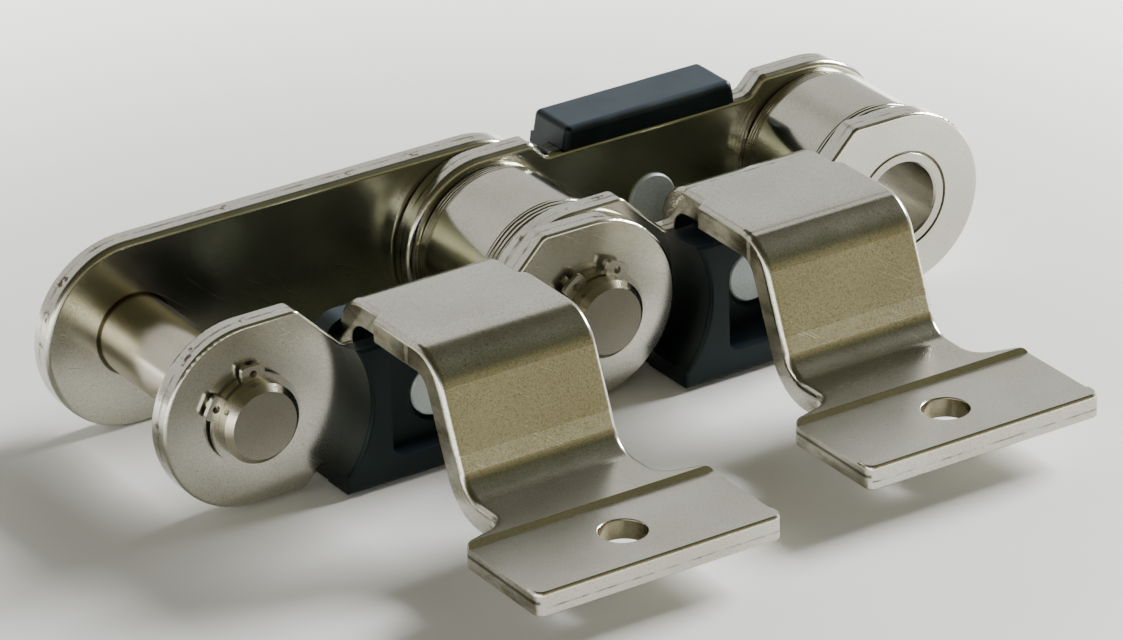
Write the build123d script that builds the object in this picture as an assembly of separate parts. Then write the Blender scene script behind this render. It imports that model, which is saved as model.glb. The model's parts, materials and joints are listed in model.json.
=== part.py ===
"""Two-link section of a nickel-plated conveyor chain with bent attachments.

Frame: millimetres, +Z up, +X along the chain.  The origin is the centre of the free
bush, where the pin of the next link goes.  The attachments stand out towards -Y.
The outer link lies between pin A (x = -2 pitch) and pin B (x = -pitch), and the inner
link between pin B and the free bush C (x = 0).
"""
from build123d import *
from math import hypot, radians, sqrt, tan
import os

# ---- chain: driving dimensions -------------------------------------------------
PITCH = 100.0            # pin to pin
PLATE_T = 7.0            # thickness of every link plate and of the attachments
INNER_WIDTH = 35.0       # between the inner plates
SIDE_GAP = 0.5           # between an inner plate and the outer plate beside it

# ---- pins, bushes, rollers -----------------------------------------------------
PIN_R = 10.5
PIN_OVERHANG = 7.2       # from an outer plate to the pin's end
PIN_CHAMFER = 1.6
PIN_A_SHIFT = 0.3        # where the pins have settled along +Y in their end play
PIN_B_SHIFT = -0.6
RUNNING_GAP = 0.06       # radial, pin in bush and roller on bush
SEAT_GAP = 0.02          # radial, pin or bush in its plate hole
BUSH_R = 14.0
BUSH_CHAMFER = 0.5
BUSH_RIM = 0.8           # chamfer round the outside of its ends
ROLLER_R = 22.8
ROLLER_SIDE_GAP = 0.4    # roller to inner plate, each side
ROLLER_TAPER_L = 5.5     # length of the eased stretch at each end of a roller
ROLLER_TAPER = 0.9       # how far the roller's radius drops over that stretch
ROLLER_EDGE = 0.6

# ---- retaining rings -----------------------------------------------------------
RING_T = 1.2
RING_STANDOFF = 1.4      # outer plate to ring
GROOVE_DEPTH = 0.5
GROOVE_PLAY = 0.05       # each side of the ring in its groove
RING_BREADTH = 2.8       # radial, opposite the gap
RING_ECCENTRIC = 0.45
LUG_HEIGHT = 4.3
LUG_WIDTH = 6.4
LUG_HALF_ANGLE = 31.0    # from the middle of the gap to a lug's plier hole
LUG_HOLE_R = 1.0
LUG_CORNER = 1.2
RING_A_TURN = 121.0      # where the gap of each ring points, degrees from +X to +Z
RING_B_TURN = 96.0
RING_FAR_TURN = 90.0

# ---- plate outlines ------------------------------------------------------------
HEAD_R = 24.3            # half height of the waisted plates at the pins
HEAD_FLAT = 14.2         # straight stretch from a pin's axis to the shoulder
WAIST_Z = 19.8           # half height of the waist
STRAP_R = 25.3           # half height of the plain far outer plate
SHOULDER_R = 2.5
HEAD_CORNER_R = 3.0      # where the shoulder meets the head's flat
PRESS_ROLL = 1.6         # rounding that the press leaves on an inner face's rim
PRESS_EDGE = 0.8         # rounding of an outer face's rim
NEAR_ROLL = 1.2          # the same two on the plates that carry an attachment, inner rim
EDGE_ROLL = 1.8          # rounding that blanking leaves on the attachment's outer side
EDGE_BREAK = 0.5         # rounding on its under side

# ---- attachment (bent out of the near plates) ----------------------------------
BEND_R = 5.5             # inside radius of the root bend and of the upper bend
SHELF_BEND_R = 8.0       # radius on the upper side of the bend into the shelf
ARM_W = 45.2             # width of the arm beyond the neck
NECK_IN = 2.1            # how far each side of the neck stands in from the arm's side
ROOT_W = ARM_W - 2 * NECK_IN
NECK_L = 12.0            # neck, measured out from the plate's outer face
ARM_REACH = 41.4         # plate's outer face to where arm top and web would meet
WEB_ANGLE = 68.0         # web below the horizontal
SHELF_TOP = -8.0         # height of the shelf's upper side
SHELF_REACH = 105.5      # plate's outer face to the shelf's front edge
SHELF_W = 70.0
FLARE_Y = 69.5           # plate's outer face to the back edge of the shelf's ears
FLARE_SLOPE = 3.4        # how far the ears' back edge falls away towards its ends
FLARE_R = 5.5
EAR_R = 3.0
FRONT_R = 2.6
HOLE_R = 6.0             # fixing hole in the shelf
HOLE_SETBACK = 17.1      # shelf's front edge to the hole's axis
HOLE_REACH = SHELF_REACH - HOLE_SETBACK
PAD_DEPTH = 1.5          # recess that seats the fitting
PAD_SETBACK = 31.3       # shelf's front edge to the recess's step
PAD_START = SHELF_REACH - PAD_SETBACK
PAD_STEP = 1.0           # run of the sloping step
PAD_LIP = 4.6            # width of the lip left along the front
LIP_DROP = 0.5           # lip below the shelf's upper side
HOLE_EASE = 0.4          # rounding of the hole's mouth

# ---- plastic guide blocks and their rivets --------------------------------------
BLOCK_FRONT = 42.0       # chain's middle plane to the near blocks' sliding face
BLOCK_FAR_FRONT = 33.0   # the same for the far block
BLOCK_CLEAR = 0.4        # block's hollow ends to a plate's turning shoulder
BLOCK_FOOT_X = 20.8      # pin's axis to the block's foot
BLOCK_BOTTOM = 24.2
BLOCK_TOP_FRONT = 14.0   # top edge at the sliding face
BLOCK_TOP_BACK = 11.4    # top edge at the plate
BLOCK_FAR_TOP = 26.0
BLOCK_FAR_FOOT = 23.3    # pin's axis to the ends of the far block's upper lip, at the plate
BLOCK_FAR_END = 24.5     # the same at its top
BLOCK_SEAT = 0.1         # block to the plate edges that it hooks over
BLOCK_LIP_OVER = 1.0     # how far a lip passes the plate's inner face
BLOCK_LIP_ROOT = 2.5     # how far a lip runs into the block's body
CHEEK_T = 6.0            # the outer link's block behind its plate
CHEEK_TOP = 15.0
CHEEK_END = 25.6         # pin's axis to the cheek's end
CHEEK_R = 6.0
BLOCK_EDGE = 1.0
FAR_EDGE = 1.8           # rounding of the far block's upper lip
WINDOW_W = 32.0
WINDOW_TOP = 9.0
WINDOW_BOTTOM = -17.8
WINDOW_R = 3.0
FAR_WINDOW = 15.9        # half height of the far block's window
FLOOR_T = 5.0            # block's floor behind the window
RIVET_Z = -5.6
RIVET_FAR_Z = -0.8
RIVET_R = 3.0
RIVET_HEAD_R = 6.9
RIVET_HEAD_T = 2.0       # outer head
RIVET_FOOT_T = 1.0       # inner head
RIVET_EASE = 0.4         # chamfer round the heads
RIVET_SINK = 0.6         # outer head below the block's floor
RIVET_POCKET = 1.2       # pocket's radius past the head's
RIVET_GAP = 0.02

# ---- drawing aid -----------------------------------------------------------------
CUT = 1.0                # how far a cutter reaches past what it cuts

# ---- values that follow ----------------------------------------------------------
INNER_IN = INNER_WIDTH / 2
INNER_OUT = INNER_IN + PLATE_T
OUTER_IN = INNER_OUT + SIDE_GAP
OUTER_OUT = OUTER_IN + PLATE_T
PIN_HALF = OUTER_OUT + PIN_OVERHANG
RING_SEAT = OUTER_OUT + RING_STANDOFF
GROOVE_R = PIN_R - GROOVE_DEPTH
BORE_R = PIN_R + RUNNING_GAP
SHOULDER_REACH = hypot(HEAD_FLAT, HEAD_R)
WAIST_X = HEAD_FLAT + HEAD_R - WAIST_Z
LIP_X = WAIST_X + SHOULDER_R
BLOCK_ARC_R = SHOULDER_REACH + BLOCK_CLEAR
BEND_OUT_R = BEND_R + PLATE_T
X_A = -2 * PITCH
X_B = -PITCH
X_C = 0.0


# ---- helpers ---------------------------------------------------------------------
def slab(sketch, y_low, y_high):
    """Extrude an outline drawn as (x, z) between two values of y."""
    return extrude(Plane.XZ.offset(-y_high) * sketch, amount=y_high - y_low)


def outline(points):
    """Face bounded by straight lines through the points."""
    return make_face(Polyline(*points, close=True))


def bar(sketch, x_low, x_high):
    """Extrude an outline drawn as (y, z) between two values of x."""
    return extrude(Plane.YZ.offset(x_low) * sketch, amount=x_high - x_low)


def corners(sketch, points):
    """The sketch's vertices that lie on the given points."""
    return [v for v in sketch.vertices() for p in points if hypot(v.X - p[0], v.Y - p[1]) < 0.01]


def turned(points):
    """Solid of revolution about Y from (radius, y) points."""
    return revolve(make_face(Polyline(*points, close=True)), axis=Axis.Y)


def rim(solid, y):
    """Outer edges of the flat face that lies in the plane at y."""
    flat = solid.faces().filter_by_position(Axis.Y, y - 0.01, y + 0.01)
    return flat.sort_by(SortBy.AREA)[-1].outer_wire().edges()


# ---- plates ------------------------------------------------------------------------
def waisted(top_z, top_x):
    """Waisted plate outline for a link from x = 0 to PITCH; the top edge is lowered to
    top_z between top_x and PITCH - top_x."""
    upper = [(0, HEAD_R), (HEAD_FLAT, HEAD_R), (top_x, top_z)]
    lower = [(WAIST_X, -WAIST_Z), (HEAD_FLAT, -HEAD_R), (0, -HEAD_R)]
    right_up = [(PITCH - x, z) for x, z in reversed(upper)]
    right_low = [(PITCH - x, z) for x, z in reversed(lower)]
    face = outline(upper + right_up + right_low + lower)
    face = fillet(corners(face, [upper[2], right_up[0], lower[0], right_low[2]]), SHOULDER_R)
    face = fillet(corners(face, [upper[1], right_up[1], lower[1], right_low[1]]), HEAD_CORNER_R)
    return face + Circle(HEAD_R) + Pos(PITCH, 0) * Circle(HEAD_R)


def holes(radius):
    return Circle(radius) + Pos(PITCH, 0) * Circle(radius)


def arm_path(mid_y):
    """Middle line of the bent sheet, from the plate's middle plane at y = mid_y."""
    half = PLATE_T / 2
    top = HEAD_R - half
    shelf = SHELF_TOP - half
    lean = tan(radians(90 - WEB_ANGLE))
    face_y = mid_y - half
    web_top_y = face_y - ARM_REACH + half * tan(radians(WEB_ANGLE / 2))
    web_low_y = web_top_y - (top - shelf) * lean
    points = [(mid_y, top - 2 * BEND_OUT_R), (mid_y, top), (web_top_y, top),
              (web_low_y, shelf), (face_y - SHELF_REACH, shelf)]
    radii = [BEND_R + half, BEND_R + half, SHELF_BEND_R + half]
    return FilletPolyline(*points, radius=radii)


def arm_plan(face_y):
    """Plan outline (x, y) of the attachment about the link's middle at x = PITCH / 2."""
    ear_y = face_y - FLARE_Y
    neck_y = face_y - NECK_L
    side = [(ROOT_W / 2, face_y + 2 * PLATE_T), (ROOT_W / 2, neck_y),
            (ARM_W / 2, neck_y - (ARM_W - ROOT_W) / 2), (ARM_W / 2, ear_y),
            (SHELF_W / 2, ear_y - FLARE_SLOPE), (SHELF_W / 2, face_y - SHELF_REACH)]
    face = outline(side + [(-x, y) for x, y in reversed(side)])
    for i, radius in ((3, FLARE_R), (4, EAR_R), (5, FRONT_R)):
        x, y = side[i]
        face = fillet(corners(face, [(x, y), (-x, y)]), radius)
    return Pos(PITCH / 2, 0) * face


def pad_cut(face_y):
    """Recess across the shelf that seats the fitting, as a (y, z) outline."""
    start = face_y - PAD_START
    front = face_y - SHELF_REACH
    floor = SHELF_TOP - PAD_DEPTH
    lip = SHELF_TOP - LIP_DROP
    return outline([(start, SHELF_TOP + CUT), (start, SHELF_TOP), (start - PAD_STEP, floor),
                    (front + PAD_LIP + PAD_STEP, floor), (front + PAD_LIP, lip),
                    (front - CUT, lip), (front - CUT, SHELF_TOP + CUT)])


def sheared(strip, side, face_y):
    """Edges along the blanked outline on the strip's outer (side = 1) or under (-1) face,
    without the end that is buried in the plate, whose outer face is at face_y."""
    buried = [f for f in strip.faces() if f.center().Z < HEAD_R - BEND_OUT_R and f.center().Y > face_y - 1]
    buried = [f for f in buried if abs(f.normal_at().X) < 0.5]
    open_faces = [f for f in strip.faces() if not any(f.is_same(b) for b in buried)]
    skin = [f for f in open_faces if side * f.normal_at().Z > 0.15]
    cut = [f for f in open_faces if abs(f.normal_at().Z) < 0.05]
    cut_edges = [e for f in cut for e in f.edges()]
    return [e for f in skin for e in f.edges() if any(e.is_same(c) for c in cut_edges)]


def attachment_plate(inner_face, hole_r):
    """Near plate with the attachment bent out of its top edge, for a link from x = 0."""
    mid_y = -(inner_face + PLATE_T / 2)
    face_y = mid_y - PLATE_T / 2
    root_z = HEAD_R - BEND_OUT_R
    notch_x = HEAD_FLAT + (HEAD_R - root_z)
    plate = slab(waisted(root_z, notch_x) - holes(hole_r), face_y, -inner_face)
    plate = fillet(rim(plate, face_y), PRESS_EDGE)
    plate = fillet(rim(plate, -inner_face), NEAR_ROLL)
    strip = bar(trace(arm_path(mid_y), PLATE_T), 0, PITCH)
    strip &= extrude(arm_plan(face_y), amount=PITCH, both=True)
    strip = fillet(sheared(strip, 1, face_y), EDGE_ROLL)
    strip = fillet(sheared(strip, -1, face_y), EDGE_BREAK)
    strip -= bar(pad_cut(face_y), -PITCH, 2 * PITCH)
    hole = Pos(PITCH / 2, face_y - HOLE_REACH, SHELF_TOP - PAD_DEPTH) * Cylinder(
        HOLE_R, 4 * PLATE_T)
    strip -= hole
    mouth = strip.edges().filter_by(GeomType.CIRCLE).filter_by(lambda e: abs(e.radius - HOLE_R) < 0.01)
    strip = fillet(mouth, HOLE_EASE)
    return plate + strip


def far_inner_plate():
    hole = Pos(PITCH / 2, RIVET_FAR_Z) * Circle(RIVET_R + RIVET_GAP)
    plate = slab(waisted(WAIST_Z, WAIST_X) - holes(BUSH_R + SEAT_GAP) - hole, INNER_IN, INNER_OUT)
    plate = fillet(rim(plate, INNER_IN), PRESS_ROLL)
    return fillet(rim(plate, INNER_OUT), PRESS_EDGE)


def far_outer_plate():
    shape = Pos(PITCH / 2, 0) * SlotOverall(PITCH + 2 * STRAP_R, 2 * STRAP_R)
    plate = slab(shape - holes(PIN_R + SEAT_GAP), OUTER_IN, OUTER_OUT)
    plate = fillet(rim(plate, OUTER_IN), PRESS_ROLL)
    return fillet(rim(plate, OUTER_OUT), PRESS_EDGE)


# ---- pins, rings, bushes, rollers ---------------------------------------------------
def pin():
    g0 = RING_SEAT - GROOVE_PLAY
    g1 = RING_SEAT + RING_T + GROOVE_PLAY
    half = [(0, PIN_HALF), (PIN_R - PIN_CHAMFER, PIN_HALF), (PIN_R, PIN_HALF - PIN_CHAMFER),
            (PIN_R, g1), (GROOVE_R, g1), (GROOVE_R, g0), (PIN_R, g0)]
    return turned(half + [(r, -y) for r, y in reversed(half)])


def ring(turn):
    """Retaining ring about the origin, lying in the (x, z) plane with its gap at turn."""
    bore = GROOVE_R + SEAT_GAP
    outside = bore + RING_BREADTH - RING_ECCENTRIC
    hole_at = bore + LUG_HEIGHT / 2
    tab = Pos(hole_at, 0) * Rectangle(LUG_HEIGHT, LUG_WIDTH)
    lug = fillet([v for v in tab.vertices() if v.X > hole_at], LUG_CORNER)
    body = Pos(-RING_ECCENTRIC, 0) * Circle(outside)
    for angle in (LUG_HALF_ANGLE, -LUG_HALF_ANGLE):
        body += Rot(0, 0, angle) * lug
    for angle in (LUG_HALF_ANGLE, -LUG_HALF_ANGLE):
        body -= Rot(0, 0, angle) * Pos(hole_at, 0) * Circle(LUG_HOLE_R)
    body -= Circle(bore)
    reach = 2 * outside
    half_gap = radians(LUG_HALF_ANGLE) - LUG_WIDTH / 2 / hole_at
    body -= outline([(0, 0), (reach, reach * tan(half_gap)), (reach, -reach * tan(half_gap))])
    return slab(Rot(0, 0, turn) * body, -RING_T / 2, RING_T / 2)


def bush():
    c = BUSH_CHAMFER
    half = [(BORE_R, 0), (BORE_R, INNER_OUT - c), (BORE_R + c, INNER_OUT), (BUSH_R - BUSH_RIM, INNER_OUT),
            (BUSH_R, INNER_OUT - BUSH_RIM), (BUSH_R, 0)]
    piece = turned(half)
    return piece + mirror(piece, about=Plane.XZ)


def roller():
    bore = BUSH_R + RUNNING_GAP
    half_l = INNER_IN - ROLLER_SIDE_GAP
    end_r = ROLLER_R - ROLLER_TAPER
    half = [(bore, 0), (bore, half_l), (end_r - ROLLER_EDGE, half_l), (end_r, half_l - ROLLER_EDGE),
            (ROLLER_R, half_l - ROLLER_TAPER_L), (ROLLER_R, 0)]
    piece = turned(half)
    return piece + mirror(piece, about=Plane.XZ)


# ---- guide blocks and rivets ----------------------------------------------------------
def hollow_ended(top, end_x, bottom, foot_x):
    """Block outline (x, z): ends hollowed about both pins, foot below, top above."""
    body = outline([(foot_x, -bottom), (PITCH - foot_x, -bottom), (PITCH - foot_x, 0), (PITCH - end_x, top),
                    (end_x, top), (foot_x, 0)])
    return body - Circle(BLOCK_ARC_R) - Pos(PITCH, 0) * Circle(BLOCK_ARC_R)


def window(top, bottom):
    shape = Rectangle(WINDOW_W, top - bottom)
    return Pos(PITCH / 2, (top + bottom) / 2) * fillet(shape.vertices(), WINDOW_R)


def lip_outline(seat):
    """Outline (x, z) of the lip that hooks under a plate's waist, its seat at z = -seat."""
    return outline([(LIP_X, -seat), (PITCH - LIP_X, -seat),
                    (PITCH - LIP_X, -BLOCK_BOTTOM), (LIP_X, -BLOCK_BOTTOM)])


def cheek_outline():
    """Outline (x, z) of the cheek that grips the plate from behind, hollowed about both pins."""
    body = outline([(CHEEK_END, -BLOCK_BOTTOM), (PITCH - CHEEK_END, -BLOCK_BOTTOM),
                    (PITCH - CHEEK_END, CHEEK_TOP), (CHEEK_END, CHEEK_TOP)])
    body = fillet(corners(body, [(CHEEK_END, CHEEK_TOP), (PITCH - CHEEK_END, CHEEK_TOP)]), CHEEK_R)
    return body - Circle(BLOCK_ARC_R) - Pos(PITCH, 0) * Circle(BLOCK_ARC_R)


def near_block(plate_in, cheek_t=0.0):
    """Block on the near plate whose inner face is at y = -plate_in.  It hooks under the
    plate's waist, and with a cheek it also grips the plate from behind."""
    face = -(plate_in + PLATE_T)
    front = -BLOCK_FRONT
    floor = face - FLOOR_T
    top_end = sqrt(BLOCK_ARC_R**2 - BLOCK_TOP_FRONT**2)
    block = slab(hollow_ended(BLOCK_TOP_FRONT, top_end, BLOCK_BOTTOM, BLOCK_FOOT_X), front, face)
    block = fillet(rim(block, front), BLOCK_EDGE)
    block -= slab(window(WINDOW_TOP, WINDOW_BOTTOM), front - CUT, floor)
    slope_y = front + BLOCK_EDGE
    above = BLOCK_TOP_FRONT + CUT
    slope = outline([(face + CUT, BLOCK_TOP_BACK), (face, BLOCK_TOP_BACK), (slope_y, BLOCK_TOP_FRONT),
                     (slope_y, above), (face + CUT, above)])
    block -= bar(slope, 0, PITCH)
    hook_in = -plate_in + max(cheek_t, BLOCK_LIP_OVER)
    block += slab(lip_outline(WAIST_Z + BLOCK_SEAT), face - BLOCK_LIP_ROOT, hook_in)
    if cheek_t:
        block += slab(cheek_outline(), -plate_in, hook_in)
    centre = Pos(PITCH / 2, RIVET_Z)
    head_in = floor + RIVET_SINK + RIVET_HEAD_T
    block -= slab(centre * Circle(RIVET_HEAD_R + RIVET_POCKET), front, head_in)
    return block - slab(centre * Circle(RIVET_R + RIVET_GAP), front, hook_in + CUT)


def far_block():
    """Block on the far inner plate, with a lip over the waist's top edge and one under it."""
    face = INNER_OUT
    front = BLOCK_FAR_FRONT
    floor = face + FLOOR_T
    seat = WAIST_Z + BLOCK_SEAT
    lip_in = INNER_IN - BLOCK_LIP_OVER
    block = slab(hollow_ended(seat, BLOCK_FAR_FOOT, BLOCK_BOTTOM, BLOCK_FOOT_X), face, front)
    upper = outline([(BLOCK_FAR_FOOT, seat), (BLOCK_FAR_END, BLOCK_FAR_TOP),
                     (PITCH - BLOCK_FAR_END, BLOCK_FAR_TOP), (PITCH - BLOCK_FAR_FOOT, seat)])
    lip = slab(upper, lip_in, front)
    block += fillet(lip.edges().filter_by(lambda e: e.center().Z > seat + FAR_EDGE / 2), FAR_EDGE)
    block += slab(lip_outline(seat), lip_in, front)
    block -= slab(window(FAR_WINDOW, -FAR_WINDOW), floor, front + CUT)
    centre = Pos(PITCH / 2, RIVET_FAR_Z)
    head_in = floor - RIVET_SINK - RIVET_HEAD_T
    block -= slab(centre * Circle(RIVET_HEAD_R + RIVET_POCKET), head_in, front)
    return block - slab(centre * Circle(RIVET_R + RIVET_GAP), face - CUT, front)


def rivet(plate_in, cheek_t=0.0):
    """Rivet along Y through block and plate, its inner head on the plate's inner face or on
    the block's cheek behind it."""
    foot_out = plate_in - cheek_t
    foot_in = foot_out - RIVET_FOOT_T
    head_in = plate_in + PLATE_T + FLOOR_T - RIVET_SINK - RIVET_HEAD_T
    head_out = head_in + RIVET_HEAD_T
    eased_r = RIVET_HEAD_R - RIVET_EASE
    return turned([(0, foot_in), (eased_r, foot_in), (RIVET_HEAD_R, foot_in + RIVET_EASE),
                   (RIVET_HEAD_R, foot_out), (RIVET_R, foot_out), (RIVET_R, head_in),
                   (RIVET_HEAD_R, head_in), (RIVET_HEAD_R, head_out - RIVET_EASE),
                   (eased_r, head_out), (0, head_out)])


# ---- assembly ---------------------------------------------------------------------------
def link_a(shape):
    return Pos(X_A, 0, 0) * shape


def link_b(shape):
    return Pos(X_B, 0, 0) * shape


def near_rivet(plate_in, cheek_t=0.0):
    return Pos(PITCH / 2, 0, RIVET_Z) * mirror(rivet(plate_in, cheek_t), about=Plane.XZ)


near_hole = slab(Pos(PITCH / 2, RIVET_Z) * Circle(RIVET_R + RIVET_GAP), -OUTER_OUT - CUT, -INNER_IN + CUT)
ring_y = RING_SEAT + RING_T / 2
parts = {
    "outer_plate_near": link_a(attachment_plate(OUTER_IN, PIN_R + SEAT_GAP) - near_hole),
    "outer_plate_far": link_a(far_outer_plate()),
    "inner_plate_near": link_b(attachment_plate(INNER_IN, BUSH_R + SEAT_GAP) - near_hole),
    "inner_plate_far": link_b(far_inner_plate()),
    "pin_a": Pos(X_A, PIN_A_SHIFT, 0) * pin(),
    "pin_b": Pos(X_B, PIN_B_SHIFT, 0) * pin(),
    "circlip_a_near": Pos(X_A, PIN_A_SHIFT - ring_y, 0) * ring(RING_A_TURN),
    "circlip_a_far": Pos(X_A, PIN_A_SHIFT + ring_y, 0) * ring(RING_FAR_TURN),
    "circlip_b_near": Pos(X_B, PIN_B_SHIFT - ring_y, 0) * ring(RING_B_TURN),
    "circlip_b_far": Pos(X_B, PIN_B_SHIFT + ring_y, 0) * ring(RING_FAR_TURN),
    "bush_b": Pos(X_B, 0, 0) * bush(),
    "bush_c": Pos(X_C, 0, 0) * bush(),
    "roller_b": Pos(X_B, 0, 0) * roller(),
    "roller_c": Pos(X_C, 0, 0) * roller(),
    "guide_block_outer_near": link_a(near_block(OUTER_IN, CHEEK_T)),
    "guide_block_inner_near": link_b(near_block(INNER_IN)),
    "guide_block_inner_far": link_b(far_block()),
    "rivet_outer_near": link_a(near_rivet(OUTER_IN, CHEEK_T)),
    "rivet_inner_near": link_b(near_rivet(INNER_IN)),
    "rivet_inner_far": link_b(Pos(PITCH / 2, 0, RIVET_FAR_Z) * rivet(INNER_IN)),
}

os.makedirs("parts", exist_ok=True)
for name, piece in parts.items():
    export_step(piece, f"parts/{name}.step")
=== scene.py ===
"""Look of the conveyor chain section: plated steel links, pins and rollers, moulded guide blocks."""
import json
import math

import bpy
from mathutils import Matrix, Vector


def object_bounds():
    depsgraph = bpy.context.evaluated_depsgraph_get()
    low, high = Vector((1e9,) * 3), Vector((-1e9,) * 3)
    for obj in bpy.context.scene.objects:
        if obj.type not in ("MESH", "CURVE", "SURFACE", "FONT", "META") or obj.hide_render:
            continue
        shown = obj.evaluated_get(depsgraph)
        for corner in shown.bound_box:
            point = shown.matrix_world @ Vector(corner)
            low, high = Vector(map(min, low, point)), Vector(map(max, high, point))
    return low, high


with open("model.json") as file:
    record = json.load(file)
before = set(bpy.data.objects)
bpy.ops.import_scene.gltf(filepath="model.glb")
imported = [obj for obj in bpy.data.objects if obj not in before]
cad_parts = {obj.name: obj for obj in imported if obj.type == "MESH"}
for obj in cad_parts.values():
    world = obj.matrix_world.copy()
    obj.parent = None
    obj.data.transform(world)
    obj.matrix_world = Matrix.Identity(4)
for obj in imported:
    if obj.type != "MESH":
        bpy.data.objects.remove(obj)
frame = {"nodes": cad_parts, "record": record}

MM = 0.001
CAD_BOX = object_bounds()
NODES = frame["nodes"]
FLOOR_Z = CAD_BOX[0][2]
CHAIN_MIDDLE = (-0.1, -0.05, 0.0)

# places on the chain that the finishes follow, in mm
PITCH = 100.0
PIN_B_FROM_C = 100.0         # pin B's axis to the free bush's, along -X
PLATE_CENTRES = (28.5, 21.0)   # middle of the outer and the inner plates, from the chain's middle plane
FRACTURE_OFF = 0.4           # sheared rims tear a little outside the plate's middle
EAR_SEAM_Z = -11.4           # height of the tear on the shelf's ends
FRONT_SEAM_Z = -12.7         # and on its front
PIN_SEAT_R = 10.7            # where the pins enter the far plates


# ---- camera ---------------------------------------------------------------------
CAMERA_AT = (-0.898317, -1.287589, 0.714233)
AZIMUTH = math.radians(-32.128)
ELEVATION = math.radians(25.716)
ROLL = math.radians(-1.784)
SENSOR_MM = 36.0
LENS_MM = 210.8

back = Vector((math.sin(AZIMUTH) * math.cos(ELEVATION),
               -math.cos(AZIMUTH) * math.cos(ELEVATION), math.sin(ELEVATION)))
level_right = (-back).cross(Vector((0, 0, 1))).normalized()
level_up = level_right.cross(-back)
right = level_right * math.cos(ROLL) + level_up * math.sin(ROLL)
up = level_up * math.cos(ROLL) - level_right * math.sin(ROLL)
camera_data = bpy.data.cameras.new("camera")
camera_data.lens = LENS_MM
camera_data.sensor_width = SENSOR_MM
camera_data.clip_start = 0.01
camera_data.clip_end = 100.0
camera = bpy.data.objects.new("camera", camera_data)
bpy.context.scene.collection.objects.link(camera)
turn = Matrix((right, up, back)).transposed().to_4x4()
camera.matrix_world = Matrix.Translation(CAMERA_AT) @ turn
bpy.context.scene.camera = camera


# ---- materials: nodes -------------------------------------------------------------
def linear(hex_colour):
    """Linear RGBA from an sRGB hex value."""
    values = [int(hex_colour[i:i + 2], 16) / 255 for i in (1, 3, 5)]
    return [v / 12.92 if v <= 0.04045 else ((v + 0.055) / 1.055) ** 2.4 for v in values] + [1.0]


def add(tree, kind, settings=None, inputs=None, stops=()):
    """Add a node with its settings, fill its inputs with numbers, colours or other nodes'
    outputs, set a ramp's (position, colour) stops, and give the node's outputs."""
    node = tree.nodes.new("ShaderNode" + kind)
    for name, value in (settings or {}).items():
        setattr(node, name, value)
    for socket, value in (inputs or {}).items():
        if isinstance(value, bpy.types.NodeSocket):
            tree.links.new(value, node.inputs[socket])
        else:
            node.inputs[socket].default_value = value
    for i, (position, colour) in enumerate(stops):
        elements = node.color_ramp.elements
        element = elements[i] if i < 2 else elements.new(position)
        element.position = position
        element.color = linear(colour)
    return node.outputs


# settings that come back
SMOOTH = {"interpolation_type": "SMOOTHSTEP"}
PLUS = {"operation": "ADD"}
MINUS = {"operation": "SUBTRACT"}
TIMES = {"operation": "MULTIPLY"}
LARGER = {"operation": "MAXIMUM"}
UNSIGNED = {"operation": "ABSOLUTE"}
LENGTH = {"operation": "LENGTH"}
COLOURS = {"data_type": "RGBA"}
TINTED = {"data_type": "RGBA", "blend_type": "MULTIPLY"}


def rise(value, start, end):
    """Inputs of a mask that goes from 0 at start to 1 at end."""
    return {"Value": value, "From Min": start, "From Max": end}


def cells(place, size_mm, detail=3.0, roughness=0.6):
    """Inputs of a noise whose cells are size_mm wide."""
    return {"Vector": place, "Scale": 1.0 / (size_mm * MM), "Detail": detail, "Roughness": roughness}


def tint_by(mask, colour, tint):
    """Inputs of a tint laid over a colour where the mask is 1."""
    return {0: mask, 6: colour, 7: linear(tint)}


def overlap(tree, *masks):
    """Mask: where all of these masks meet."""
    shared = masks[0]
    for mask in masks[1:]:
        shared = add(tree, "Math", TIMES, {0: shared, 1: mask})[0]
    return shared


def stripe(tree, value, middle_mm, half_mm, soft_mm):
    """Mask: 1 within half_mm of a distance, with an edge soft_mm wide."""
    apart = add(tree, "Math", MINUS, {0: value, 1: middle_mm * MM})[0]
    apart = add(tree, "Math", UNSIGNED, {0: apart})[0]
    return add(tree, "MapRange", SMOOTH, rise(apart, (half_mm + soft_mm) * MM, half_mm * MM))[0]


def new_material(name, values):
    """Material with one shader, its constant values set on the shader's own sockets."""
    material = bpy.data.materials.new(name)
    material.use_nodes = True
    shader = material.node_tree.nodes["Principled BSDF"]
    for socket, value in values.items():
        shader.inputs[socket].default_value = value
    return material, material.node_tree, shader


def dress(tree, shader, outputs):
    for socket, output in outputs.items():
        tree.links.new(output, shader.inputs[socket])


# ---- materials: finishes ------------------------------------------------------------
def plated_steel(name, tint, dark_tint, roughness, grain_mm, metallic=1.0):
    """What the plated steels share: clouds of tone 22 mm wide, where the plating is thicker or
    thinner, over the base metal's grain, drawn coarser than the real one so that it shows."""
    material, tree, shader = new_material(name, {"Metallic": metallic})
    place = add(tree, "TexCoord")["Object"]
    clouds = add(tree, "TexNoise", {}, cells(place, 22, 3.0, 0.55))["Fac"]
    colour = add(tree, "ValToRGB", {}, {"Fac": clouds}, [(0.3, dark_tint), (0.7, tint)])["Color"]
    grain = add(tree, "TexNoise", {}, cells(place, grain_mm, 4.0, 0.7))["Fac"]
    grain_marks = add(tree, "MapRange", SMOOTH, rise(grain, 0.42, 0.66))[0]
    colour = add(tree, "Mix", TINTED, tint_by(grain_marks, colour, "#e3e1d8"))[2]
    worn = add(tree, "TexNoise", {}, cells(place, 9.0))["Fac"]
    rough = add(tree, "MapRange", SMOOTH, {**rise(worn, 0.3, 0.7), "To Min": roughness - 0.008,
                                           "To Max": roughness + 0.012})[0]
    return material, tree, shader, place, colour, grain, rough


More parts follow.
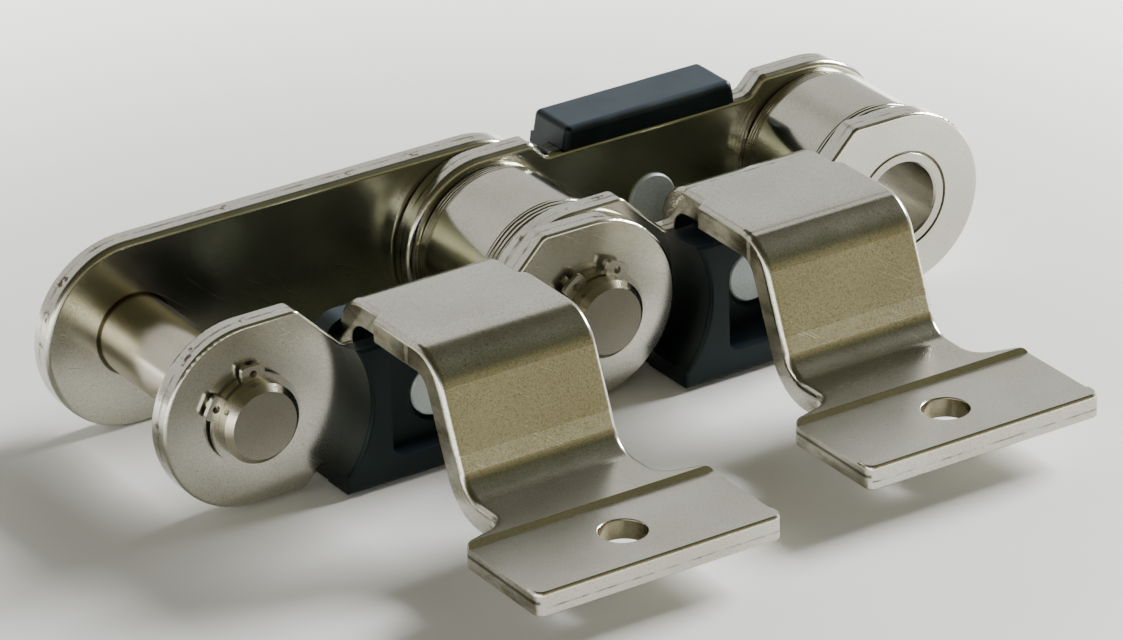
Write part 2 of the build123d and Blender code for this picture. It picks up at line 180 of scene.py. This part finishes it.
def plated_sheet(name, tint, dark_tint, roughness):
    """Nickel-plated pressed sheet.  The skin keeps the rolled grain and sparse handling
    nicks and slanted scratches; the sheared rims show a broken dark fracture line, drawn-out
    burnish streaks and a few brown bare patches; the bending left flecks and grit in the arms'
    plating and a faint crease across each web; the seats are scuffed duller.  The bolt hole's
    wall gets a painted warm shade, the far plates' inner faces a greenish painted shade, left off
    near the pins so that a lighter painted reflection of them shows, and each pin's seat a dark ring."""
    material, tree, shader, place, colour, grain, rough = plated_steel(
        name, tint, dark_tint, roughness, 0.35)
    at = add(tree, "SeparateXYZ", {}, {"Vector": place})
    facing = add(tree, "SeparateXYZ", {}, {"Vector": add(tree, "TexCoord")["Normal"]})
    square_to = {axis: add(tree, "Math", UNSIGNED, {0: facing[axis]})[0] for axis in "XYZ"}
    depth = add(tree, "Math", UNSIGNED, {0: at["Y"]})[0]
    across = add(tree, "Math", {"operation": "PINGPONG"}, {0: at["X"], 1: PITCH / 2 * MM})[0]
    spoke = add(tree, "CombineXYZ", {}, {"X": across, "Z": at["Z"]})[0]
    from_pin = add(tree, "VectorMath", LENGTH, {0: spoke})["Value"]
    patches = add(tree, "TexNoise", {}, cells(place, 6.0))["Fac"]

    # the link plates' sheared rims, without the sides of the attachments' roots
    on_link = add(tree, "MapRange", SMOOTH, rise(at["Y"], -34.5 * MM, -33.5 * MM))[0]
    root = overlap(tree, add(tree, "MapRange", SMOOTH, rise(at["Z"], 10.5 * MM, 12.0 * MM))[0],
                   add(tree, "MapRange", SMOOTH, rise(square_to["X"], 0.8, 0.9))[0])
    off_root = add(tree, "Math", MINUS, {0: 1.0, 1: root})[0]
    rim = overlap(tree, add(tree, "MapRange", SMOOTH, rise(square_to["Y"], 0.55, 0.25))[0],
                  overlap(tree, on_link, off_root))

    # broken fracture line along the rims, and bare patches beside it
    lines, bands = (add(tree, "Math", LARGER, {
        i: stripe(tree, depth, centre + off, half, soft) for i, centre in enumerate(PLATE_CENTRES)})[0]
        for off, half, soft in ((FRACTURE_OFF, 0.15, 0.5), (0.0, 1.0, 0.9)))
    broken = add(tree, "MapRange", SMOOTH, rise(patches, 0.35, 0.68))[0]
    colour = add(tree, "Mix", TINTED, tint_by(overlap(tree, lines, rim, broken), colour, "#9a968a"))[2]
    spots = add(tree, "TexNoise", {}, cells(place, 7.5, 4.0, 0.7))["Fac"]
    spots = add(tree, "MapRange", SMOOTH, rise(spots, 0.60, 0.66))[0]
    colour = add(tree, "Mix", TINTED, tint_by(overlap(tree, bands, rim, spots), colour, "#8a6f63"))[2]

    # the same tear on the shelves' ends and front
    shelf = overlap(tree, add(tree, "MapRange", SMOOTH, rise(at["Y"], -96 * MM, -98 * MM))[0],
                    add(tree, "MapRange", SMOOTH, rise(square_to["Z"], 0.5, 0.3))[0])
    ends = overlap(tree, add(tree, "MapRange", SMOOTH, rise(square_to["X"], 0.5, 0.7))[0],
                   add(tree, "MapRange", SMOOTH, rise(across, 30 * MM, 27 * MM))[0])
    front = overlap(tree, add(tree, "MapRange", SMOOTH, rise(square_to["Y"], 0.8, 0.9))[0],
                    add(tree, "MapRange", SMOOTH, rise(at["Y"], -126.8 * MM, -127.6 * MM))[0])
    broken = add(tree, "MapRange", SMOOTH, rise(patches, 0.35, 0.7))[0]
    seam = add(tree, "Math", LARGER, {
        0: overlap(tree, stripe(tree, at["Z"], EAR_SEAM_Z, 0.15, 0.6), ends),
        1: overlap(tree, stripe(tree, at["Z"], FRONT_SEAM_Z, 0.08, 0.25), front, broken)})[0]
    colour = add(tree, "Mix", TINTED, tint_by(overlap(tree, shelf, seam), colour, "#8a877d"))[2]
    # painted warm shade on the bolt hole's wall, where the recess is in shadow
    painted_hole_shade = overlap(tree, shelf, add(tree, "MapRange", SMOOTH, rise(across, 42 * MM, 43 * MM))[0],
                      add(tree, "MapRange", SMOOTH, rise(at["Y"], -127.6 * MM, -126.8 * MM))[0])
    colour = add(tree, "Mix", TINTED, tint_by(painted_hole_shade, colour, "#d2cab4"))[2]

    # burnish drawn out along the attachments' cut sides
    cut_side = overlap(tree, add(tree, "MapRange", SMOOTH, rise(square_to["X"], 0.75, 0.95))[0],
                       add(tree, "MapRange", SMOOTH, rise(at["Y"], -26 * MM, -28 * MM))[0])
    drawn = add(tree, "Mapping", {}, {"Vector": place, "Scale": (1.0, 0.12, 0.35)})["Vector"]
    streaks = add(tree, "TexNoise", {}, cells(drawn, 1.3))["Fac"]
    streaks = add(tree, "MapRange", SMOOTH, rise(streaks, 0.40, 0.75))[0]
    colour = add(tree, "Mix", TINTED, tint_by(overlap(tree, cut_side, streaks), colour, "#bdb8a8"))[2]

    # flecks and fine grit in the plating of the bent arms, fainter on the shelves
    bent = add(tree, "MapRange", SMOOTH, rise(at["Y"], -50 * MM, -62 * MM))[0]
    fainter = add(tree, "MapRange", SMOOTH, {**rise(at["Y"], -102 * MM, -92 * MM), "To Min": 0.25})[0]
    arm = overlap(tree, bent, fainter)
    flecks = add(tree, "TexNoise", {}, cells(place, 0.6, 2.0, 0.6))["Fac"]
    flecks = add(tree, "MapRange", SMOOTH, rise(flecks, 0.50, 0.75))[0]
    colour = add(tree, "Mix", TINTED, tint_by(overlap(tree, flecks, arm), colour, "#e2ddce"))[2]
    grit = overlap(tree, add(tree, "TexNoise", {}, cells(place, 0.55, 2.0, 0.7))["Fac"], arm)

    # nicks
    pits = add(tree, "TexVoronoi", {}, {"Vector": place, "Scale": 1.0 / (2.6 * MM),
                                        "Randomness": 1.0})["Distance"]
    nicks = add(tree, "MapRange", SMOOTH, rise(pits, 0.10, 0.03))[0]
    colour = add(tree, "Mix", TINTED, tint_by(nicks, colour, "#b9b6ab"))[2]

    # painted shade on the far plates' inner faces, greenish and left off near the pins as a lighter painted
    # reflection of them, and a dark ring at each pin's seat
    inner_face = overlap(tree, add(tree, "MapRange", SMOOTH, rise(facing["Y"], -0.75, -0.95))[0],
                         add(tree, "MapRange", SMOOTH, rise(at["Y"], 16 * MM, 17 * MM))[0])
    painted_inner_shade = overlap(tree, inner_face, add(tree, "MapRange", SMOOTH, rise(from_pin, 16 * MM, 34 * MM))[0])
    colour = add(tree, "Mix", TINTED, tint_by(painted_inner_shade, colour, "#c9d0be"))[2]
    # the painted shade also lowers the metallic a little
    metal = add(tree, "MapRange", SMOOTH, {**rise(painted_inner_shade, 0.0, 1.0), "To Min": 1.0, "To Max": 0.91})[0]
    ring = overlap(tree, inner_face, stripe(tree, from_pin, PIN_SEAT_R, 0.25, 0.5))
    colour = add(tree, "Mix", TINTED, tint_by(ring, colour, "#6d675a"))[2]

    # relief: grain, torn rims, grit and scratches over the crease across each web
    drawn = add(tree, "Mapping", {}, {"Vector": place, "Scale": (1.0, 0.10, 1.0)})["Vector"]
    torn = overlap(tree, add(tree, "TexNoise", {}, cells(drawn, 0.8, 3.0, 0.65))["Fac"],
                   add(tree, "Math", LARGER, {0: rim, 1: cut_side})[0])
    slanted = add(tree, "Mapping", {"vector_type": "TEXTURE"},
                  {"Vector": place, "Rotation": (0.0, math.radians(35), math.radians(-20)),
                   "Scale": (12.0, 2.5, 1.0)})["Vector"]
    level = add(tree, "TexNoise", {}, cells(slanted, 7.0, 2.0, 0.5))["Fac"]
    off_level = add(tree, "Math", UNSIGNED, {0: add(tree, "Math", MINUS, {0: level, 1: 0.5})[0]})[0]
    scratches = overlap(tree, add(tree, "MapRange", SMOOTH, rise(off_level, 0.008, 0.002))[0],
                        add(tree, "MapRange", SMOOTH, rise(patches, 0.45, 0.6))[0])
    relief = grain
    for step, marks, height in ((PLUS, torn, 3.0), (PLUS, grit, 1.8), (MINUS, scratches, 2.5)):
        raised = add(tree, "Math", TIMES, {0: marks, 1: height})[0]
        relief = add(tree, "Math", step, {0: relief, 1: raised})[0]
    web = overlap(tree, add(tree, "MapRange", SMOOTH, rise(at["Y"], -60 * MM, -62 * MM))[0],
                  add(tree, "MapRange", SMOOTH, rise(at["Y"], -95 * MM, -92 * MM))[0])
    crease = add(tree, "MapRange", {}, rise(at["Z"], -3.5 * MM, 1.2 * MM))[0]
    normal = add(tree, "Bump", {}, {"Height": overlap(tree, crease, web), "Strength": 1.0,
                                    "Distance": 0.20 * MM})[0]
    normal = add(tree, "Bump", {}, {"Height": relief, "Strength": 0.12, "Distance": 0.05 * MM,
                                    "Normal": normal})[0]

    # scuffed seats
    seat = overlap(tree, add(tree, "MapRange", SMOOTH, rise(at["Y"], -84 * MM, -94 * MM))[0],
                   add(tree, "MapRange", SMOOTH, rise(facing["Z"], 0.75, 0.95))[0])
    duller = add(tree, "Math", TIMES, {0: seat, 1: 0.11})[0]
    rough = add(tree, "Math", PLUS, {0: rough, 1: duller})[0]
    dress(tree, shader, {"Base Color": colour, "Metallic": metal, "Roughness": rough, "Normal": normal})
    return material


def turned_steel(name, tint, dark_tint, roughness, rolled_from_mm=None):
    """Nickel-plated turned steel: faint rings around the Y axis where the tool passed, and
    on the roller deeper grooves that sliding against the plates rolled into its end bands."""
    material, tree, shader, place, colour, grain, rough = plated_steel(name, tint, dark_tint, roughness, 0.3)
    drawn = add(tree, "Mapping", {}, {"Vector": place, "Scale": (0.02, 1.0, 0.02)})["Vector"]
    rings = add(tree, "TexNoise", {}, cells(drawn, 0.9, 2.0, 0.5))["Fac"]
    raised = add(tree, "Math", TIMES, {0: rings, 1: 1.5})[0]
    relief = {"Height": add(tree, "Math", PLUS, {0: grain, 1: raised})[0], "Strength": 0.035,
              "Distance": 0.05 * MM}
    if rolled_from_mm:
        along = add(tree, "SeparateXYZ", {}, {"Vector": place})["Y"]
        depth = add(tree, "Math", UNSIGNED, {0: along})[0]
        wander = add(tree, "TexNoise", {}, cells(place, 6.0, 2.0, 0.5))["Fac"]
        phase = add(tree, "Math", TIMES, {0: depth, 1: 2 * math.pi / (1.25 * MM)})[0]
        shift = add(tree, "Math", TIMES, {0: wander, 1: 5.0})[0]
        phase = add(tree, "Math", PLUS, {0: phase, 1: shift})[0]
        grooves = add(tree, "Math", {"operation": "SINE"}, {0: phase})[0]
        band = add(tree, "MapRange", SMOOTH, rise(depth, rolled_from_mm * MM, (rolled_from_mm + 0.6) * MM))[0]
        relief["Normal"] = add(tree, "Bump", {}, {"Height": overlap(tree, grooves, band), "Strength": 1.0,
                                                  "Distance": 0.07 * MM})[0]
    dress(tree, shader, {"Base Color": colour, "Roughness": rough,
                         "Normal": add(tree, "Bump", {}, relief)[0]})
    return material


def pin_steel(name, tint, dark_tint, roughness):
    """Ground and plated pins: the ends are duller, pin A's with a straight grind across it and
    pin B's with the rings of a facing cut."""
    material, tree, shader, place, colour, grain, rough = plated_steel(name, tint, dark_tint, roughness, 0.25)
    at = add(tree, "SeparateXYZ", {}, {"Vector": place})
    facing = add(tree, "SeparateXYZ", {}, {"Vector": add(tree, "TexCoord")["Normal"]})
    square = add(tree, "Math", UNSIGNED, {0: facing["Y"]})[0]
    end = add(tree, "MapRange", SMOOTH, rise(square, 0.9, 0.97))[0]
    colour = add(tree, "Mix", TINTED, tint_by(end, colour, "#c9cbcd"))[2]
    slant = add(tree, "Mapping", {}, {"Vector": place, "Rotation": (0.0, math.radians(38), 0.0)})["Vector"]
    grind = add(tree, "TexWave", {}, {"Vector": slant, "Scale": 1.0 / (1.45 * MM), "Distortion": 0.3,
                                      "Detail": 2.0, "Detail Scale": 2.0})["Fac"]
    from_b = add(tree, "VectorMath", PLUS, {0: place, 1: (PIN_B_FROM_C * MM, 0.0, 0.0)})["Vector"]
    flat = add(tree, "VectorMath", TIMES, {0: from_b, 1: (1.0, 0.0, 1.0)})["Vector"]
    radius = add(tree, "VectorMath", LENGTH, {0: flat})["Value"]
    turns = add(tree, "Math", TIMES, {0: radius, 1: 2 * math.pi / (0.45 * MM)})[0]
    facing_cut = add(tree, "Math", {"operation": "SINE"}, {0: turns})[0]
    is_a = add(tree, "MapRange", SMOOTH, rise(at["X"], -149 * MM, -151 * MM))[0]
    marks = add(tree, "Mix", {"data_type": "FLOAT"}, {0: is_a, 2: facing_cut, 3: grind})[0]
    end_marks = overlap(tree, end, marks)
    colour = add(tree, "Mix", TINTED, tint_by(end_marks, colour, "#d2d2d0"))[2]
    normal = add(tree, "Bump", {}, {"Height": end_marks, "Strength": 0.25, "Distance": 0.02 * MM})[0]
    normal = add(tree, "Bump", {}, {"Height": grain, "Strength": 0.08, "Distance": 0.05 * MM,
                                    "Normal": normal})[0]
    duller = add(tree, "Math", TIMES, {0: end, 1: 0.10})[0]
    rough = add(tree, "Math", PLUS, {0: rough, 1: duller})[0]
    dress(tree, shader, {"Base Color": colour, "Roughness": rough, "Normal": normal})
    return material


def zinc_rivet(name, tint, dark_tint):
    """Zinc-plated rivet: matt, crystalline, so it takes its tone from all round."""
    material, tree, shader, place, colour, grain, rough = plated_steel(
        name, tint, dark_tint, 0.52, 0.4, metallic=0.4)
    normal = add(tree, "Bump", {}, {"Height": grain, "Strength": 0.2, "Distance": 0.05 * MM})[0]
    dress(tree, shader, {"Base Color": colour, "Roughness": rough, "Normal": normal})
    return material


def moulded_plastic(name, tint, cloud_tint):
    """Black moulded polyamide: fine spark-eroded grain gives a soft blue-grey sheen, and the faces
    that look up get a painted blue-grey sky reflection."""
    material, tree, shader = new_material(name, {"Metallic": 0.0, "IOR": 1.5, "Specular IOR Level": 0.33,
                                                 "Specular Tint": linear("#b2c8c8")})
    place = add(tree, "TexCoord")["Object"]
    clouds = add(tree, "TexNoise", {}, cells(place, 12, 2.0, 0.5))["Fac"]
    colour = add(tree, "ValToRGB", {}, {"Fac": clouds}, [(0.3, tint), (0.7, cloud_tint)])["Color"]
    facing = add(tree, "SeparateXYZ", {}, {"Vector": add(tree, "TexCoord")["Normal"]})
    # painted sky reflection: faces that look up get a lighter blue-grey added to their colour
    painted_top_sheen = add(tree, "MapRange", SMOOTH, rise(facing["Z"], 0.75, 0.97))[0]
    colour = add(tree, "Mix", {"data_type": "RGBA", "blend_type": "ADD"},
                 {0: painted_top_sheen, 6: colour, 7: linear("#252f39")})[2]
    rough = add(tree, "MapRange", SMOOTH, {**rise(clouds, 0.3, 0.7), "To Min": 0.33, "To Max": 0.43})[0]
    erosion = add(tree, "TexNoise", {}, cells(place, 0.5))["Fac"]
    normal = add(tree, "Bump", {}, {"Height": erosion, "Strength": 0.15, "Distance": 0.05 * MM})[0]
    dress(tree, shader, {"Base Color": colour, "Roughness": rough, "Normal": normal})
    return material


FINISH = {
    "nickel_plate": plated_sheet("nickel plated sheet steel", "#cecdc3", "#c2c0b4", 0.19),
    "pin_steel": pin_steel("nickel plated ground steel", "#ccc7b6", "#bcb6a3", 0.2),
    "roller_steel": turned_steel("nickel plated turned steel", "#cbc9bd", "#bcb9aa", 0.14, 11.8),
    "bush_steel": turned_steel("nickel plated bush steel", "#c4c2b8", "#b2afa4", 0.24),
    "spring_steel": turned_steel("spring steel", "#c8c6bd", "#b3b1a7", 0.22),
    "rivet_zinc": zinc_rivet("zinc plated rivet steel", "#c9d2d2", "#b4bdbe"),
    "black_plastic": moulded_plastic("black polyamide", "#070c0c", "#0b1313"),
}
for part in frame["record"]["subparts"]:
    mesh = NODES[part["node"]].data
    mesh.materials.clear()
    mesh.materials.append(FINISH[part["material_slot"]])


# ---- floor --------------------------------------------------------------------------
FLOOR_SIZE = 30
PAPER_MIDDLE = (-0.10, -0.03, FLOOR_Z)
GLOW_FROM, GLOW_TO, GLOW_STRENGTH = 0.14, 0.42, 2.0   # painted glow: the paper emits light, none at the chain and rising away from it

bpy.ops.object.select_all(action="DESELECT")
bpy.ops.mesh.primitive_plane_add(size=FLOOR_SIZE, location=(0, 0, 0))
floor = bpy.context.object
floor.name = "floor"
floor.data.transform(Matrix.Translation((0, 0, FLOOR_Z)))
paper, tree, shader = new_material("white backdrop paper", {
    "Roughness": 0.9, "Base Color": linear("#f6f6f4"), "Emission Color": linear("#fbfbf8")})
away = add(tree, "VectorMath", {"operation": "DISTANCE"},
           {0: add(tree, "TexCoord")["Object"], 1: PAPER_MIDDLE})["Value"]
# painted glow: emission strength rises with distance from the chain, so the paper round the chain stays
# darker
painted_glow = add(tree, "MapRange", SMOOTH, {**rise(away, GLOW_FROM, GLOW_TO), "To Max": GLOW_STRENGTH})[0]
dress(tree, shader, {"Emission Strength": painted_glow})
floor.data.materials.append(paper)

# every node's origin is the free bush's axis, so the floor drops with a link that swings down
follow = floor.constraints.new("COPY_LOCATION")
follow.target = NODES["bush_c"]
follow.use_x = follow.use_y = False
stay_below = floor.constraints.new("LIMIT_LOCATION")
stay_below.use_max_z = True
stay_below.max_z = 0.0


# ---- light --------------------------------------------------------------------------
world = bpy.data.worlds.new("studio")
bpy.context.scene.world = world
world.use_nodes = True
sky = world.node_tree
direction = add(sky, "TexCoord")["Generated"]
height = add(sky, "SeparateXYZ", {}, {"Vector": direction})["Z"]


def towards(azimuth, wide, narrow):
    """Mask of the sky: 1 within the narrow angle of the azimuth (degrees from +X), 0 past the wide one."""
    level = Vector((math.cos(math.radians(azimuth)), math.sin(math.radians(azimuth)), 0.0))
    flat = add(sky, "VectorMath", TIMES, {0: direction, 1: (1.0, 1.0, 0.0)})["Vector"]
    unit = add(sky, "VectorMath", {"operation": "NORMALIZE"}, {0: flat})["Vector"]
    turned_to = add(sky, "VectorMath", {"operation": "DOT_PRODUCT"}, {0: unit, 1: level})["Value"]
    start, end = math.cos(math.radians(wide)), math.cos(math.radians(narrow))
    return add(sky, "MapRange", SMOOTH, rise(turned_to, start, end))[0]


# dim warm room in front, a white panel behind and to the right, a white reflector at the left
room, panel, reflector = (add(sky, "ValToRGB", {}, {"Fac": height}, stops)["Color"] for stops in (
    [(0.0, "#d6cfae"), (0.16, "#bcb38a"), (0.36, "#948c66"), (0.56, "#585a40"), (0.9, "#545641")],
    [(0.0, "#d2d2d0"), (0.10, "#f6f6f4"), (0.64, "#fcfcfa"), (0.72, "#5a5a42"), (0.95, "#484937")],
    [(0.0, "#f4f4f0"), (0.30, "#ffffff"), (0.45, "#8f8a78"), (0.7, "#4c4836")]))
colour = add(sky, "Mix", COLOURS, {0: towards(58.0, 100.0, 62.0), 6: room, 7: panel})[2]
colour = add(sky, "Mix", COLOURS, {0: towards(190.0, 62.0, 40.0), 6: colour, 7: reflector})[2]

# the reflector is brightest near the floor, towards the plates' ends
low = add(sky, "MapRange", SMOOTH, rise(height, 0.35, 0.15))[0]
gain = add(sky, "Math", TIMES, {0: towards(205.0, 50.0, 30.0), 1: 3.0})[0]
strength = add(sky, "Math", {"operation": "MULTIPLY_ADD"}, {0: gain, 1: low, 2: 1.0})[0]
dress(sky, sky.nodes["Background"], {"Color": colour, "Strength": strength})

# one soft lamp, low at the right, so that the inside of the chain stays dark
KEY_AT = Vector((1.35, 0.05, 0.78))
KEY_SIZE = (0.7, 0.5)
KEY_WATTS = 70
key_data = bpy.data.lights.new("key", "AREA")
key_data.shape = "RECTANGLE"
key_data.size, key_data.size_y = KEY_SIZE
key_data.energy = KEY_WATTS
key = bpy.data.objects.new("key", key_data)
bpy.context.scene.collection.objects.link(key)
aim = (KEY_AT - Vector(CHAIN_MIDDLE)).to_track_quat("Z", "Y")
key.matrix_world = Matrix.Translation(KEY_AT) @ aim.to_matrix().to_4x4()
